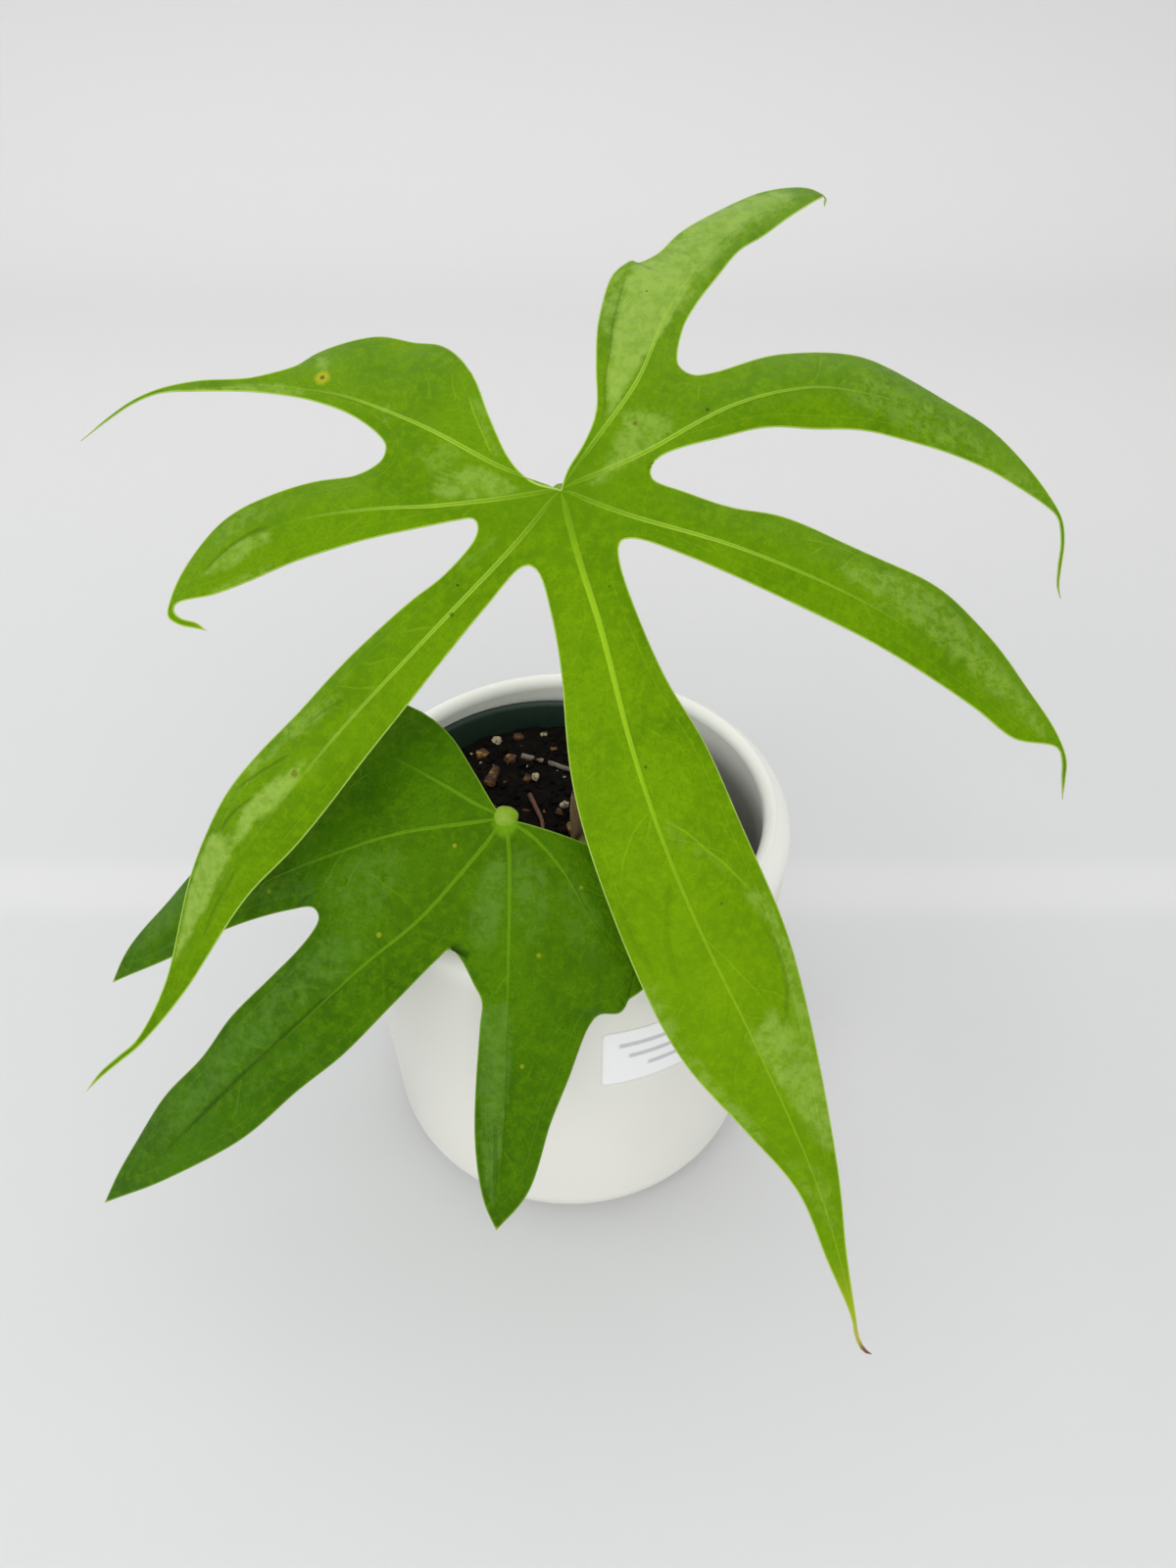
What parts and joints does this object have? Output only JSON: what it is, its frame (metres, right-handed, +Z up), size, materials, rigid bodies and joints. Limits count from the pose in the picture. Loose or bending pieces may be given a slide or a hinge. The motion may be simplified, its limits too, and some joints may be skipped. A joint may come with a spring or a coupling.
{
  "type": "potted anthurium",
  "caption": "House plant with broad leaves split into long narrow lobes, in a thin grow pot of dark mix that stands inside a plain round ceramic cover pot with a blank sticker.",
  "frame": {"origin": "centre of the flat underside of the cover pot, which is the lowest point of the object", "axes": "+Z up along the cover pot's axis, -Y towards the viewer of the picture (the front, with the sticker), +X to the viewer's right"},
  "size_m": [0.248, 0.2136, 0.2642],
  "materials": {
    "pot_glaze": "satin",
    "grow_pot_plastic": "satin",
    "potting_mix": "matte",
    "stem": "satin",
    "dry_sheath": "matte",
    "stalk": "satin",
    "fresh_leaf": "satin",
    "dark_leaf": "satin",
    "label_paper": "satin",
    "twig": "matte",
    "root": "matte",
    "bark": "matte",
    "perlite": "matte"
  },
  "bodies": {
    "root": {"cover_pot": "pot_glaze", "grow_pot": "grow_pot_plastic", "potting_mix": "potting_mix", "stem": "stem", "sheath_front": "dry_sheath", "sheath_back": "dry_sheath", "upper_stalk": "stalk", "lower_stalk": "stalk", "upper_blade": "fresh_leaf", "lower_blade": "dark_leaf", "label": "label_paper", "twig": "twig", "surface_root": "root", "bark_chip_1": "bark", "bark_chip_2": "bark", "bark_chip_3": "bark", "bark_chip_4": "bark", "bark_chip_5": "bark", "perlite_1": "perlite", "perlite_2": "perlite", "perlite_3": "perlite", "perlite_4": "perlite"}
  },
  "joints": []
}
